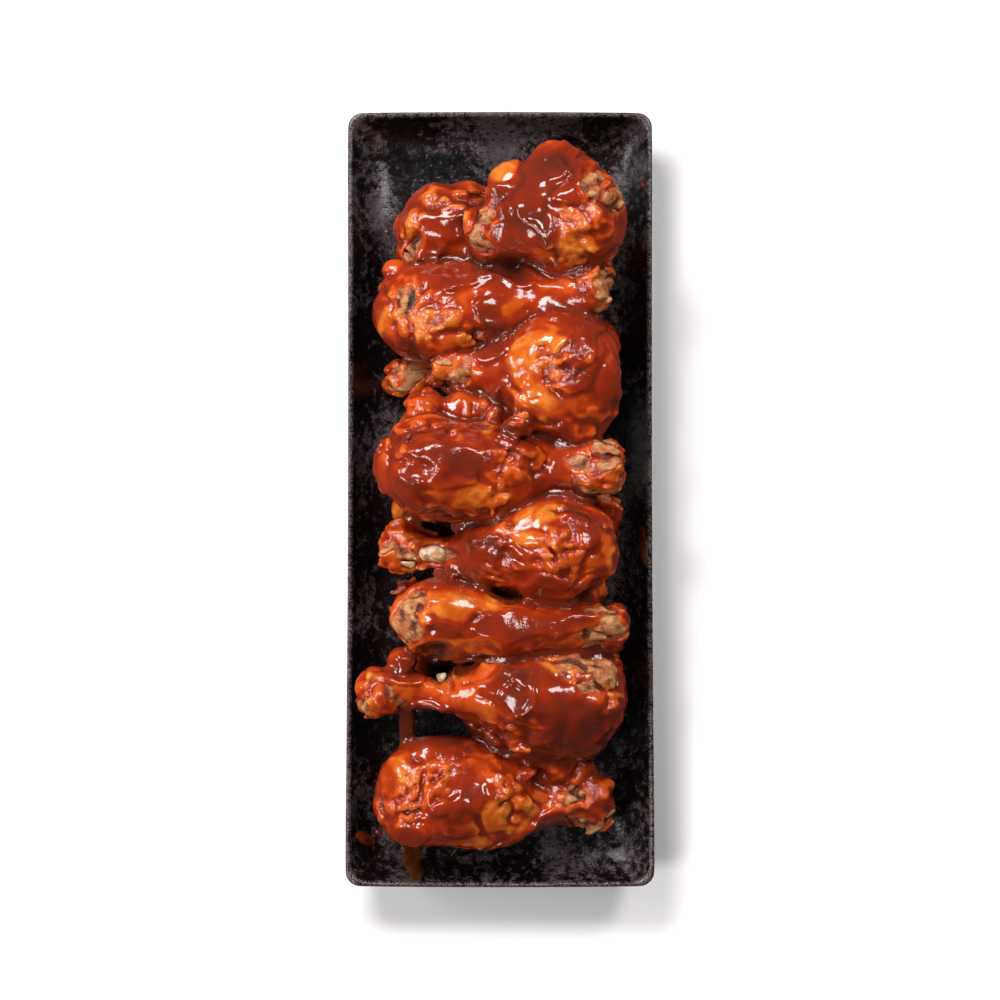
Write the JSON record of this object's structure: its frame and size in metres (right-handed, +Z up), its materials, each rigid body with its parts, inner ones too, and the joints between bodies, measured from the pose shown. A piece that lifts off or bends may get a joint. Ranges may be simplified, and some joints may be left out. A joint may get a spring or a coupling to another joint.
{
  "type": "platter of glazed chicken drumsticks",
  "caption": "Heap of sauce-glazed roast chicken drumsticks, laid head to tail on a long narrow rectangular dark stoneware dish with a low flared rim.",
  "frame": {"origin": "on the table under the middle of the dish", "axes": "+Y along the dish's length, +X across it, +Z up"},
  "size_m": [0.131, 0.3308, 0.0765],
  "materials": {
    "stoneware": "black glazed stoneware, mottled charcoal, satin, with a worn speckled rim",
    "glazed_chicken": "roast chicken skin under a thin orange-red glaze, with dry golden knuckles",
    "sauce": "thick wet brown-red barbecue sauce, high gloss",
    "bone": "cooked bone and gristle, cream, half wet"
  },
  "bodies": {
    "root": {"dish": "stoneware", "drumstick_01": "glazed_chicken", "drumstick_02": "glazed_chicken", "drumstick_03": "glazed_chicken", "drumstick_04": "glazed_chicken", "drumstick_05": "glazed_chicken", "drumstick_06": "glazed_chicken", "drumstick_07": "glazed_chicken", "drumstick_08": "glazed_chicken", "drumstick_09": "glazed_chicken", "drumstick_10": "glazed_chicken", "drumstick_11": "glazed_chicken", "drumstick_12": "glazed_chicken", "drumstick_13": "glazed_chicken"}
  },
  "joints": []
}
